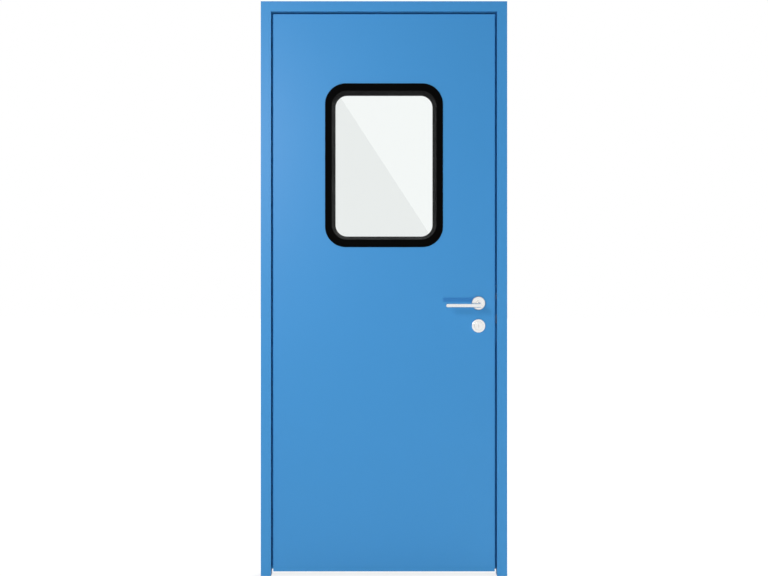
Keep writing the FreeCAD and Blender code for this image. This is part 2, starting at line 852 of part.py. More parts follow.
hinge_half_length = (size("hinge_length") - size("knuckle_gap")) / 2
hinge_pin_radius = size("pin_radius") - size("pin_clearance")


def hinge_half(label, centre_z, plate_left, low):
    """One plate in the gap and its knuckle behind the frame, from the level given."""
    body = new_body(label)
    length = size("hinge_length")
    plate_right = plate_left + size("hinge_plate")
    plate_y = back_y - size("hinge_plate_depth")
    foot = centre_z - length / 2
    web = (plate_left, back_y, plate_right, hinge_y)
    extrude(body, "XY_Plane", foot, length, rectangle, plate_left, plate_y, plate_right, back_y)
    extrude(body, "XY_Plane", low, hinge_half_length, rectangle, *web)
    extrude(body, "XY_Plane", low, hinge_half_length, circle, hinge_x, hinge_y, size("knuckle_radius"))
    return body


def hinge_frame_half(label, centre_z):
    """The lower knuckle, with the pin that the leaf is lifted off."""
    low = centre_z - size("hinge_length") / 2
    body = hinge_half(label, centre_z, rear_face, low)
    start = low + hinge_half_length
    extrude(body, "XY_Plane", start, size("pin_length"), circle, hinge_x, hinge_y, hinge_pin_radius)
    return body


def hinge_door_half(label, centre_z):
    """The upper knuckle, bored from below for the pin."""
    low = centre_z + size("knuckle_gap") / 2
    body = hinge_half(label, centre_z, lip_left - size("hinge_plate"), low)
    cut(body, "XY_Plane", low, size("pin_length"), circle, hinge_x, hinge_y, size("pin_radius"))
    return body


def hinges(half, ending):
    """The same half of all three hinges, the middle one halfway between the others."""
    lower_z = size("lower_hinge_height")
    upper_z = height - size("upper_hinge_drop")
    levels = {"lower": lower_z, "middle": (lower_z + upper_z) / 2, "upper": upper_z}
    return [half("%s_hinge_%s" % (name, ending), level) for name, level in levels.items()]


nodes = [
    jamb("hinge_jamb", False),
    jamb("lock_jamb", True),
    head_rail(),
    jamb_seal("hinge_jamb_seal", False),
    jamb_seal("lock_jamb_seal", True),
    head_seal(),
    push_skin(),
    pull_skin(),
    leaf_core(),
    bottom_channel(),
    drop_seal_carrier(),
    drop_seal_strip(),
    window_frame("push_window_frame", push_y, -1),
    window_frame("pull_window_frame", back_y, 1),
    window_glass(),
    glass_gasket("push_glass_gasket", middle_y - half_glass - gasket),
    glass_gasket("pull_glass_gasket", middle_y + half_glass),
    lock_case(),
    lock_forend(),
    strike_plate(),
    strike_box(),
    join_apart("push_roses", roses("push", push_y, -1)),
    join_apart("pull_roses", roses("pull", back_y, 1)),
    join_apart("levers", [lever("push_lever", push_y, -1), lever("pull_lever", back_y, 1)]),
    lever_spindle(),
    lock_cylinder(),
    thumb_turn(),
    join_apart("hinge_frame_plates", hinges(hinge_frame_half, "frame_half")),
    join_apart("hinge_door_plates", hinges(hinge_door_half, "door_half")),
]
for bolt in BOLTS:
    nodes.append(lock_bolt(*bolt))


# Check the model and write each piece

doc.recompute()
for item in doc.Objects:
    if "Invalid" in item.State or "Error" in item.State:
        raise RuntimeError("%s did not build: %s" % (item.Name, item.State))
    if item.isDerivedFrom("PartDesign::Pocket") and not item.Shape.Volume < item.BaseFeature.Shape.Volume:
        raise RuntimeError("%s cuts nothing" % item.Name)
os.makedirs("parts", exist_ok=True)
for node in nodes:
    if node.Shape.isNull() or not node.Shape.isValid():
        raise RuntimeError("%s has no sound solid" % node.Label)
    node.Shape.exportStep("parts/%s.step" % node.Label)
    print(node.Label, len(node.Shape.Solids), round(node.Shape.Volume), node.Shape.BoundBox)
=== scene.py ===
import json
import math
import bpy
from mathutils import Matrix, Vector

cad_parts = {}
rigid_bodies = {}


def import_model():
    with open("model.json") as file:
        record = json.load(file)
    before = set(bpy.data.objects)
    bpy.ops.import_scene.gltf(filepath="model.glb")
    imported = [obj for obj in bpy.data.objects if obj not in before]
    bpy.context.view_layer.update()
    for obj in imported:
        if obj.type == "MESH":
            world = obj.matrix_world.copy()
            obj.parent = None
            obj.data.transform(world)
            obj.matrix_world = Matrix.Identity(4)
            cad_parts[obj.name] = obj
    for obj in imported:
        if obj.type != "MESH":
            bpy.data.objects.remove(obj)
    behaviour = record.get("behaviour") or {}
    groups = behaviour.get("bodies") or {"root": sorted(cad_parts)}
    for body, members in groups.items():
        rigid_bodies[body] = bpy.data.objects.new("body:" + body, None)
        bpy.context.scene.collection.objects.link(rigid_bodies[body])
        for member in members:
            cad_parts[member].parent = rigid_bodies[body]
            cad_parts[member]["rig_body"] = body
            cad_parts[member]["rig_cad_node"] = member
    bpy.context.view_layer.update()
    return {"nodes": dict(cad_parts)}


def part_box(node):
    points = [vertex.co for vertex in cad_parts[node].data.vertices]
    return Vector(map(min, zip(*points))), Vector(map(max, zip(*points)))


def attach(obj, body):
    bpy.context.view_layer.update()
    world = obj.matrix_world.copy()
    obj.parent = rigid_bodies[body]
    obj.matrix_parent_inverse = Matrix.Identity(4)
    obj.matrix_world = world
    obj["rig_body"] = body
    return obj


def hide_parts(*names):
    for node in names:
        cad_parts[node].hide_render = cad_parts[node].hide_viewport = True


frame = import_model()
cadNodes = frame["nodes"]
print("door frame loaded with", len(cadNodes), "nodes")


def deselectAll():
    bpy.ops.object.select_all(action="DESELECT")


# the camera stands level, square in front of the push side, as in the photograph
cameraSet = {
    "distance": 3.6,        # from the frame's face, metres
    "height": 1.0526,       # the photograph's horizon
    "across": 0.45,
    "widthOfView": 2.8047,  # of the whole picture at the frame's face
    "sensor": 36,
    "sees": 60,             # how far, metres
}
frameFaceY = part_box("hinge_jamb")[0].y
deselectAll()
bpy.ops.object.camera_add(
    location=(cameraSet["across"], frameFaceY - cameraSet["distance"], cameraSet["height"]),
    rotation=(math.pi / 2, 0, 0),
)
camera = bpy.context.object
camera.name = "doorCamera"
camera.data.sensor_width = cameraSet["sensor"]
camera.data.lens = cameraSet["sensor"] * cameraSet["distance"] / cameraSet["widthOfView"]
camera.data.dof.use_dof = False
camera.data.clip_end = cameraSet["sees"]
bpy.context.scene.camera = camera
print("camera placed")


# shader maths: a Wire is an output socket that can be added, multiplied and so on
class Wire:
    def __init__(self, tree, source=None):
        self.tree = tree
        self.source = source

    def node(self, kind, settings=None, sockets=None, output=0):
        made = self.tree.nodes.new(kind)
        for name, value in (settings or {}).items():
            setattr(made, name, value)
        for name, value in (sockets or {}).items():
            if isinstance(value, Wire):
                self.tree.links.new(value.source, made.inputs[name])
            else:
                made.inputs[name].default_value = value
        return Wire(self.tree, made.outputs[output])

    def maths(self, operation, *values):
        return self.node("ShaderNodeMath", {"operation": operation}, dict(enumerate(values)))

    def __add__(self, other):
        return self.maths("ADD", self, other)

    def __radd__(self, other):
        return self.maths("ADD", other, self)

    def __sub__(self, other):
        return self.maths("SUBTRACT", self, other)

    def __rsub__(self, other):
        return self.maths("SUBTRACT", other, self)

    def __mul__(self, other):
        return self.maths("MULTIPLY", self, other)

    def __rmul__(self, other):
        return self.maths("MULTIPLY", other, self)

    def blend(self, first, second):
        # this value mixes two colours
        return self.node("ShaderNodeMix", {"data_type": "RGBA"}, {0: self, 6: first, 7: second}, 2)

    def stretched(self, scale, centre=(0, 0, 0)):
        # coordinates centred on a place and stretched, for grain that runs one way
        place = tuple(-c * s for c, s in zip(centre, scale))
        return self.node("ShaderNodeMapping", {}, {"Vector": self, "Location": place, "Scale": scale})

    def noise(self, scale, detail=3.0, rough=0.5):
        sockets = {"Vector": self, "Scale": scale, "Detail": detail, "Roughness": rough}
        return self.node("ShaderNodeTexNoise", {}, sockets)

    def length(self):
        return self.node("ShaderNodeVectorMath", {"operation": "LENGTH"}, {0: self}, "Value")

    def bump(self, strength, distance):
        sockets = {"Height": self, "Strength": strength, "Distance": distance}
        return self.node("ShaderNodeBump", {}, sockets)


def newFinish(name, constants):
    # an empty material with its shader, whose fixed values are set on its own sockets
    material = bpy.data.materials.new(name)
    material.use_nodes = True
    tree = material.node_tree
    shader = next(n for n in tree.nodes if n.type == "BSDF_PRINCIPLED")
    for socket, value in constants.items():
        shader.inputs[socket].default_value = value
    start = Wire(tree)
    coords = start.node("ShaderNodeTexCoord", output="Object")
    return material, shader, coords


def connect(shader, links):
    for socket, wire in links.items():
        wire.tree.links.new(wire.source, shader.inputs[socket])


def colour(red, green, blue):
    return (red, green, blue, 1)


paintSet = {
    "blue": colour(0.046, 0.241, 0.560),
    "deeper": colour(0.040, 0.229, 0.538),
    "roughness": 0.355,
    "sheen": 0.3,
    "cloudSize": 1.6,     # soft clouds of tone, in a metre
    "cloudShare": 0.7,    # against the fine specks
    "speckSize": 1500,
    "peelSize": 420,      # waves of orange peel in a metre
    "peelDepth": 0.00002,
}


def bluePowderCoat():
    material, shader, coords = newFinish("bluePowderCoat", {"Specular IOR Level": paintSet["sheen"]})
    clouds = coords.noise(paintSet["cloudSize"], 2)
    peel = coords.noise(paintSet["peelSize"], 2, 0.6)
    speck = coords.noise(paintSet["speckSize"], 1)
    tone = clouds * paintSet["cloudShare"] + speck * (1 - paintSet["cloudShare"])
    connect(shader, {
        "Base Color": tone.blend(paintSet["blue"], paintSet["deeper"]),
        "Roughness": paintSet["roughness"] + clouds * 0.08 + peel * 0.05,
        "Normal": peel.bump(0.25, paintSet["peelDepth"]),
    })
    return material


rimSet = {
    "black": colour(0.0014, 0.0015, 0.0016),
    "greyer": colour(0.0026, 0.0027, 0.0028),
    "roughness": 0.30,
    "faceSheen": 0.004,   # the flat rim is almost matt
    "splaySheen": 0.10,   # the folded edges shine a little
    "patchSize": 5,
    "grainSize": 900,
    "grainDepth": 0.00002,
}


def satinBlack(name, sheen):
    material, shader, coords = newFinish(name, {"Specular IOR Level": sheen})
    patch = coords.noise(rimSet["patchSize"], 3)
    grain = coords.noise(rimSet["grainSize"], 2, 0.6)
    connect(shader, {
        "Base Color": (patch * 0.6 + grain * 0.4).blend(rimSet["black"], rimSet["greyer"]),
        "Roughness": rimSet["roughness"] + patch * 0.08,
        "Normal": grain.bump(0.2, rimSet["grainDepth"]),
    })
    return material


glassSet = {
    "tint": colour(0.895, 0.930, 0.918),
    "ior": 1.5,
    "film": 1.0,          # a bright coat, which gives the pane its clear reflection
    "filmIor": 1.6,
    "smearSize": 6,
    "smear": 0.012,
}


def clearGlass():
    constants = {
        "Base Color": glassSet["tint"], "IOR": glassSet["ior"], "Transmission Weight": 1.0,
        "Coat Weight": glassSet["film"], "Coat IOR": glassSet["filmIor"], "Coat Roughness": 0.0,
    }
    material, shader, coords = newFinish("clearGlass", constants)
    smear = coords.noise(glassSet["smearSize"], 3)
    connect(shader, {"Roughness": smear * glassSet["smear"]})
    return material


rubberSet = {
    "black": colour(0.014, 0.014, 0.015),
    "dusty": colour(0.030, 0.030, 0.031),
    "roughness": 0.62,
    "dustSize": 40,
    "skinSize": 1800,
    "skinDepth": 0.00003,
}


def blackRubber():
    material, shader, coords = newFinish("blackRubber", {"IOR": 1.5})
    dust = coords.noise(rubberSet["dustSize"], 4, 0.6)
    skin = coords.noise(rubberSet["skinSize"], 2)
    connect(shader, {
        "Base Color": dust.blend(rubberSet["black"], rubberSet["dusty"]),
        "Roughness": rubberSet["roughness"] + dust * 0.15,
        "Normal": skin.bump(0.3, rubberSet["skinDepth"]),
    })
    return material


steelSet = {
    "bright": colour(0.86, 0.86, 0.85),
    "dull": colour(0.79, 0.79, 0.78),
    "roughness": 0.24,
    "stainSize": 30,
    "ringSize": 2600,      # a lathe's rings in a metre
    "ringStain": 45,
    "grainDepth": 0.00001,
}


def brushedSteel(name, along, bright=steelSet["bright"], dull=steelSet["dull"],
                 roughness=steelSet["roughness"]):
    # grain that is long in one direction: a scale for each axis says how fine it is there
    material, shader, coords = newFinish(name, {"Metallic": 1.0})
    grain = coords.stretched(along).noise(1, 4, 0.65)
    stain = coords.noise(steelSet["stainSize"], 3)
    connect(shader, {
        "Base Color": (grain * 0.6 + stain * 0.4).blend(bright, dull),
        "Roughness": grain * 0.14 + stain * 0.06 + roughness - 0.1,
        "Normal": grain.bump(0.12, steelSet["grainDepth"]),
    })
    return material


def turnedSteel(name, centres):
    # rings of a lathe's finish around the nearest of the given axes
    material, shader, coords = newFinish(name, {"Metallic": 1.0})
    radius = None
    for centre in centres:
        away = coords.stretched((1, 0, 1), centre).length()
        radius = away if radius is None else away.maths("MINIMUM", away, radius)
    rings = radius.node("ShaderNodeCombineXYZ", {}, {"X": radius}).noise(steelSet["ringSize"], 2)
    stain = coords.noise(steelSet["ringStain"], 3)
    connect(shader, {
        "Base Color": (rings * 0.5 + stain * 0.5).blend(steelSet["bright"], steelSet["dull"]),
        "Roughness": rings * 0.12 + stain * 0.05 + steelSet["roughness"] - 0.08,
        "Normal": rings.bump(0.1, steelSet["grainDepth"]),
    })
    return material


zincSet = {
    "bright": colour(0.62, 0.63, 0.64),
    "dull": colour(0.50, 0.51, 0.52),
    "roughness": 0.3,
    "flakeSize": 160,
    "stainSize": 35,
    "stainDepth": 0.00002,
}


def zincPlate():
    material, shader, coords = newFinish("zincPlate", {"Metallic": 1.0})
    spangle = coords.node("ShaderNodeTexVoronoi", {"feature": "F1"},
                          {"Vector": coords, "Scale": zincSet["flakeSize"]}, "Color")
    flake = spangle.node("ShaderNodeSeparateColor", {}, {"Color": spangle})
    stain = coords.noise(zincSet["stainSize"], 4)
    connect(shader, {
        "Base Color": (flake * 0.5 + stain * 0.5).blend(zincSet["bright"], zincSet["dull"]),
        "Roughness": zincSet["roughness"] + flake * 0.2,
        "Normal": stain.bump(0.1, zincSet["stainDepth"]),
    })
    return material


honeycombSet = {
    "paper": colour(0.47, 0.33, 0.18),
    "darker": colour(0.36, 0.24, 0.12),
    "wall": colour(0.58, 0.44, 0.27),
    "roughness": 0.8,
    "cellSize": 70,
    "wallWidth": 0.06,     # of a cell
    "fibres": (300, 300, 60),
    "depth": 0.0004,
}


def kraftHoneycomb():
    material, shader, coords = newFinish("kraftHoneycomb", {"IOR": 1.4})
    cells = coords.node("ShaderNodeTexVoronoi", {"feature": "DISTANCE_TO_EDGE"},
                        {"Vector": coords, "Scale": honeycombSet["cellSize"]}, "Distance")
    wall = cells.maths("LESS_THAN", cells, honeycombSet["wallWidth"])
    fibre = coords.stretched(honeycombSet["fibres"]).noise(1, 4, 0.7)
    paper = fibre.blend(honeycombSet["paper"], honeycombSet["darker"])
    connect(shader, {
        "Base Color": wall.blend(paper, honeycombSet["wall"]),
        "Roughness": honeycombSet["roughness"] + fibre * 0.1,
        "Normal": (wall + fibre * 0.3).bump(0.5, honeycombSet["depth"]),
    })
    return material


def middleOf(node):
    low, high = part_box(node)
    return tuple((low[i] + high[i]) / 2 for i in range(3))


leverAxis = middleOf("lever_spindle")
cylinderAxis = middleOf("lock_cylinder")
finishes = {
    "paint": bluePowderCoat(),
    "black": satinBlack("satinBlack", rimSet["faceSheen"]),
    "blackEdge": satinBlack("satinBlackEdge", rimSet["splaySheen"]),
    "glass": clearGlass(),
    "rubber": blackRubber(),
    "zinc": zincPlate(),
    "aluminium": brushedSteel("millAluminium", (4, 900, 900), bright=colour(0.80, 0.81, 0.82),
                              dull=colour(0.70, 0.71, 0.72), roughness=0.38),
    "honeycomb": kraftHoneycomb(),
    "edgePlate": brushedSteel("brushedEdgePlate", (900, 900, 6)),
    "lever": brushedSteel("satinLever", (9, 700, 700)),
    "hinge": brushedSteel("satinHinge", (800, 800, 30), bright=colour(0.74, 0.74, 0.73),
                          dull=colour(0.62, 0.62, 0.61), roughness=0.3),
    # a darker, duller steel for the upper rose's rim: painted shade, not a finish of its own
    "paintedShadeRim": brushedSteel("paintedShadeRoseRim", (500, 500, 500), bright=colour(0.44, 0.46, 0.49),
                            dull=colour(0.33, 0.35, 0.38), roughness=0.4),
    "rose": turnedSteel("turnedRose", (leverAxis, cylinderAxis)),
    "cylinder": turnedSteel("turnedCylinder", (cylinderAxis,)),
}
print("finishes mixed")


def setFinish(target, name):
    target.data.materials.clear()
    target.data.materials.append(finishes[name])


nodeFinishes = {
    "glass": ("window_glass",),
    "rubber": ("push_glass_gasket", "pull_glass_gasket", "drop_seal_strip"),
    "zinc": ("lever_spindle", "lock_case", "latch_bolt", "dead_bolt", "strike_box", "bottom_channel"),
    "aluminium": ("drop_seal_carrier",),
    "honeycomb": ("leaf_core",),
}
for finish, members in nodeFinishes.items():
    for member in members:
        setFinish(cadNodes[member], finish)
print("finishes put on the nodes")


def workOn(target):
    # the only selected object, and the active one
    deselectAll()
    target.select_set(True)
    bpy.context.view_layer.objects.active = target


mergeSet = {
    "sameNode": 0.00001,     # points nearer than this are one, metres
    "weldedNodes": 0.00002,
    "flat": 0.5,             # faces that turn less than this are one, degrees
}


def copyOfNodes(name, members):
    # a fresh object made of copies of some CAD nodes, with their loose triangles merged
    copies = []
    for member in members:
        twin = cadNodes[member].copy()
        twin.data = cadNodes[member].data.copy()
        twin.parent = None
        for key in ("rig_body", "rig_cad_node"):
            del twin[key]
        bpy.context.scene.collection.objects.link(twin)
        copies.append(twin)
    deselectAll()
    for twin in copies:
        twin.select_set(True)
    bpy.context.view_layer.objects.active = copies[0]
    if len(copies) > 1:
        bpy.ops.object.join()
    made = copies[0]
    made.name = name
    workOn(made)
    bpy.ops.mesh.customdata_custom_splitnormals_clear()
    bpy.ops.object.mode_set(mode="EDIT")
    bpy.ops.mesh.select_all(action="SELECT")
    bpy.ops.mesh.remove_doubles(threshold=mergeSet["sameNode"])
    bpy.ops.object.mode_set(mode="OBJECT")
    return made


def selectFaces(target, wanted):
    # picks faces by their place or normal, ready for an operator in edit mode
    bpy.ops.object.mode_set(mode="EDIT")
    bpy.ops.mesh.select_mode(type="FACE")
    bpy.ops.mesh.select_all(action="DESELECT")
    bpy.ops.object.mode_set(mode="OBJECT")
    for face in target.data.polygons:
        face.select = wanted(face)
    bpy.ops.object.mode_set(mode="EDIT")


def evenShading(target, angle):
    # smooth over the small radii while the flat faces stay flat
    workOn(target)
    bpy.ops.object.shade_smooth_by_angle(angle=math.radians(angle))
    bpy.ops.object.modifier_add(type="WEIGHTED_NORMAL")
    target.modifiers[-1].keep_sharp = True
    bpy.ops.object.modifier_apply(modifier=target.modifiers[-1].name)


def roundEdges(target, radius, segments, angle=35):
    # flat faces are made whole again, then every crease gets a small radius
    workOn(target)
    bpy.ops.object.mode_set(mode="EDIT")
    bpy.ops.mesh.select_all(action="SELECT")
    bpy.ops.mesh.dissolve_limited(angle_limit=math.radians(mergeSet["flat"]))
    bpy.ops.object.mode_set(mode="OBJECT")
    bpy.ops.object.modifier_add(type="BEVEL")
    bevel = target.modifiers[-1]
    bevel.width = radius
    bevel.segments = segments
    bevel.limit_method = "ANGLE"
    bevel.angle_limit = math.radians(angle)
    bpy.ops.object.modifier_apply(modifier=bevel.name)
    evenShading(target, 40)


# the frame is welded and ground at its two upper corners, so it is one skin here
frameSet = {"foldRadius": 0.0011, "segments": 3, "mitresAbove": 2.0}


def makeWeldedFrame():
    members = ("hinge_jamb", "lock_jamb", "head_rail")
    shell = copyOfNodes("weldedFrame", members)
    slant = math.sqrt(0.5)

    def onMitre(face):
        slanting = abs(face.normal.y) < 0.01 and abs(abs(face.normal.x) - slant) < 0.01
        return slanting and face.center.z > frameSet["mitresAbove"]

    selectFaces(shell, onMitre)
    bpy.ops.mesh.delete(type="FACE")
    bpy.ops.mesh.select_all(action="SELECT")
    bpy.ops.mesh.remove_doubles(threshold=mergeSet["weldedNodes"])
    bpy.ops.object.mode_set(mode="OBJECT")
    roundEdges(shell, frameSet["foldRadius"], frameSet["segments"])
    setFinish(shell, "paint")
    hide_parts(*members)
    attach(shell, "frame")


# the upper rose's rim is painted darker from the first radius to the second: a painted shade
roseSet = {"paintedShadeFrom": 0.0225, "reach": 0.03}

# other sheet and turned pieces keep their CAD shape, with the small radii of folding and turning
softened = {
    # node: body, finish, slot, radius, segments
    "push_skin": ("leaf", "paint", "leaf_paint", 0.0009, 3),
    "pull_skin": ("leaf", "paint", "leaf_paint", 0.0009, 3),
    "push_window_frame": ("leaf", "black", "window_frame_paint", 0.0011, 3),
    "pull_window_frame": ("leaf", "black", "window_frame_paint", 0.0011, 3),
    "push_roses": ("leaf", "rose", "satin_steel", 0.0007, 3),
    "pull_roses": ("leaf", "rose", "satin_steel", 0.0007, 3),
    "lock_cylinder": ("leaf", "cylinder", "satin_steel", 0.0003, 2),
    "thumb_turn": ("leaf", "lever", "satin_steel", 0.0008, 3),
    "levers": ("lever", "lever", "satin_steel", 0.0005, 2),
    "lock_forend": ("leaf", "edgePlate", "satin_steel", 0.0003, 2),
    "strike_plate": ("frame", "edgePlate", "satin_steel", 0.0003, 2),
    "hinge_jamb_seal": ("frame", "rubber", "rubber_seal", 0.0007, 2),
    "lock_jamb_seal": ("frame", "rubber", "rubber_seal", 0.0007, 2),
    "head_seal": ("frame", "rubber", "rubber_seal", 0.0007, 2),
    "hinge_frame_plates": ("frame", "hinge", "hinge_steel", 0.0004, 2),
    "hinge_door_plates": ("leaf", "hinge", "hinge_steel", 0.0004, 2),
}


def finishFaces(target, name, wanted):
    # a second finish on some of a piece's faces
    target.data.materials.append(finishes[name])
    selectFaces(target, wanted)
    target.active_material_index = len(target.data.materials) - 1
    bpy.ops.object.material_slot_assign()
    bpy.ops.object.mode_set(mode="OBJECT")


def onLeverRim(face):
    # the bevel and the side of the upper rose, which take the painted shade
    away = math.hypot(face.center.x - leverAxis[0], face.center.z - leverAxis[2])
    return roseSet["paintedShadeFrom"] < away < roseSet["reach"]


def camelName(node):
    first, *rest = node.split("_")
    return first + "".join(word.capitalize() for word in rest)


def makeSoftened():
    for node, (body, finish, slotName, radius, segments) in softened.items():
        piece = copyOfNodes(camelName(node), (node,))
        roundEdges(piece, radius, segments)
        setFinish(piece, finish)
        if finish == "black":
            finishFaces(piece, "blackEdge", lambda face: abs(face.normal.y) < 0.99)
        if finish == "rose":
            # the upper rose's rim gets the darker steel as painted shade
            finishFaces(piece, "paintedShadeRim", onLeverRim)
        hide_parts(node)
        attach(piece, body)


makeWeldedFrame()
makeSoftened()
print("folded and turned pieces have their radii")


def beginPiece(name, radius, depth, sides):
    # a short cylinder round the Z axis whose foot lies at the origin
    deselectAll()
    bpy.ops.mesh.primitive_cylinder_add(vertices=sides, radius=radius, depth=depth,
                                        location=(0, 0, depth / 2))
    piece = bpy.context.object
    piece.name = name
    bpy.ops.object.transform_apply(location=True, rotation=True, scale=True)
    return piece


def bevelFaces(piece, wanted, amount, segments):
    # the outlines of the chosen faces are rounded
    selectFaces(piece, wanted)
    bpy.ops.mesh.region_to_loop()
    bpy.ops.mesh.bevel(offset=amount, segments=segments, affect="EDGES")
    bpy.ops.object.mode_set(mode="OBJECT")


def topFace(piece):
    height = max(point.co.z for point in piece.data.vertices)
    return lambda face: face.normal.z > 0.99 and face.center.z > height - 0.00002


screwSet = {
    "radius": 0.0037,
    "height": 0.0006,     # the low raised head of a countersunk screw
    "rounding": 0.00035,
    "slotWidth": 0.0010,
    "slotLength": 0.0040,
    "slotDepth": 0.8,     # of the head's height
}


def screwHead(name):
    piece = beginPiece(name, screwSet["radius"], screwSet["height"], 32)
    bevelFaces(piece, topFace(piece), screwSet["rounding"], 3)
    slot = (screwSet["slotLength"], screwSet["slotWidth"])
    for wide, high in (slot, slot[::-1]):
        deselectAll()
        bpy.ops.mesh.primitive_cube_add(size=1, location=(0, 0, screwSet["height"]))
        cutter = bpy.context.object
        cutter.scale = (wide, high, 2 * screwSet["slotDepth"] * screwSet["height"])
        bpy.ops.object.transform_apply(location=True, rotation=True, scale=True)
        workOn(piece)
        bpy.ops.object.modifier_add(type="BOOLEAN")
        piece.modifiers[-1].object = cutter
        piece.modifiers[-1].operation = "DIFFERENCE"
        bpy.ops.object.modifier_apply(modifier=piece.modifiers[-1].name)
        workOn(cutter)
        bpy.ops.object.delete()
    evenShading(piece, 35)
    return piece


capSet = {"radius": 0.0068, "height": 0.0010, "rounding": 0.0006, "ring": 0.0022, "dip": 0.0002}


def holeCap(name):
    # a push-in cap with a shallow round dip in its middle
    piece = beginPiece(name, capSet["radius"], capSet["height"], 48)
    bevelFaces(piece, topFace(piece), capSet["rounding"], 3)
    selectFaces(piece, topFace(piece))
    bpy.ops.mesh.inset(thickness=capSet["ring"])
    bpy.ops.mesh.inset(thickness=capSet["dip"])
    bpy.ops.transform.translate(value=(0, 0, -capSet["dip"]))
    bpy.ops.object.mode_set(mode="OBJECT")
    evenShading(piece, 50)
    return piece


grubSet = {"radius": 0.0026, "height": 0.0008, "socket": 0.0009, "deep": 0.0007}


def grubScrew(name):
    # the end of a set screw with its socket
    piece = beginPiece(name, grubSet["radius"], grubSet["height"], 36)
    selectFaces(piece, topFace(piece))
    bpy.ops.mesh.inset(thickness=grubSet["socket"])
    bpy.ops.mesh.extrude_region_move(TRANSFORM_OT_translate={"value": (0, 0, -grubSet["deep"])})
    bpy.ops.object.mode_set(mode="OBJECT")
    evenShading(piece, 35)
    return piece


# the way a head faces, as a turn of the Z axis
facing = {
    "+x": (0, math.pi / 2, 0),
    "-x": (0, -math.pi / 2, 0),
    "-z": (math.pi, 0, 0),
}


def spread(first, family, body, finish, places):
    # the same small piece at every place, joined to one object
    copies = []
    for spot, towards in places:
        twin = first.copy()
        twin.data = first.data.copy()
        bpy.context.scene.collection.objects.link(twin)
        twin.location = spot
        twin.rotation_euler = facing[towards]
        copies.append(twin)
    workOn(first)
    bpy.ops.object.delete()
    deselectAll()
    for twin in copies:
        twin.select_set(True)
    bpy.context.view_layer.objects.active = copies[0]
    bpy.ops.object.transform_apply(location=True, rotation=True, scale=True)
    bpy.ops.object.join()
    copies[0].name = family
    setFinish(copies[0], finish)
    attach(copies[0], body)


fastenerSet = {
    "sunk": 0.0001,            # how far a foot reaches into its plate
    "edgeGap": 0.007,          # between the leaf's lip and the frame
    "hingeSteel": 0.0025,
    "hingeLevels": (0.25, 1.05, 1.85),
    "hingeRows": (-0.038, -0.016, 0.016, 0.038),
    "hingeInset": 0.007,       # behind the pull side
    "plateEnd": 0.010,         # from the ends of the edge plates
    "fixingLevels": (0.15, 0.75, 1.35, 1.95),
    "grubDrop": 0.0087,        # under the lever's axis, on its neck
    "grubStand": 0.006,        # in front of the rose
}


def makeFasteners():
    sunk = fastenerSet["sunk"]

    # the hinges' screws, on the frame's plates and on the leaf's
    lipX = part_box("pull_skin")[0].x
    jambX = lipX - fastenerSet["edgeGap"]
    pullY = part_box("pull_skin")[1].y
    screwY = pullY - fastenerSet["hingeInset"]
    levels = [level + row for level in fastenerSet["hingeLevels"] for row in fastenerSet["hingeRows"]]
    spread(screwHead("frameHingeScrew"), "frameHingeScrews", "frame", "hinge",
           [((jambX + fastenerSet["hingeSteel"] - sunk, screwY, z), "+x") for z in levels])
    spread(screwHead("leafHingeScrew"), "leafHingeScrews", "leaf", "hinge",
           [((lipX - fastenerSet["hingeSteel"] + sunk, screwY, z), "-x") for z in levels])

    # the lock's face plate and its strike, a screw at each end
    faceLow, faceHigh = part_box("lock_forend")
    strikeLow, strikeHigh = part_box("strike_plate")
    plateY = (faceLow.y + faceHigh.y) / 2
    end = fastenerSet["plateEnd"]
    spread(screwHead("forendScrew"), "forendScrews", "leaf", "edgePlate",
           [((faceHigh.x - sunk, plateY, z), "+x") for z in (faceLow.z + end, faceHigh.z - end)])
    spread(screwHead("strikeScrew"), "strikeScrews", "frame", "edgePlate",
           [((strikeLow.x + sunk, plateY, z), "-x") for z in (strikeLow.z + end, strikeHigh.z - end)])

    # caps in the frame's fixing holes
    holeY = (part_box("hinge_jamb_seal")[0].y + pullY) / 2
    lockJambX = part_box("lock_jamb")[1].x - jambX
    spread(holeCap("fixingCap"), "fixingCaps", "frame", "paint",
           [((jambX - sunk, holeY, z), "+x") for z in fastenerSet["fixingLevels"]]
           + [((lockJambX + sunk, holeY, z), "-x") for z in fastenerSet["fixingLevels"]])

    # one grub screw under each lever's neck
    stand = fastenerSet["grubStand"]
    neckY = (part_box("push_roses")[0].y - stand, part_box("pull_roses")[1].y + stand)
    spread(grubScrew("leverGrubScrew"), "leverGrubScrews", "lever", "zinc",
           [((leverAxis[0], y, leverAxis[2] - fastenerSet["grubDrop"]), "-z") for y in neckY])


makeFasteners()
print("fasteners set")

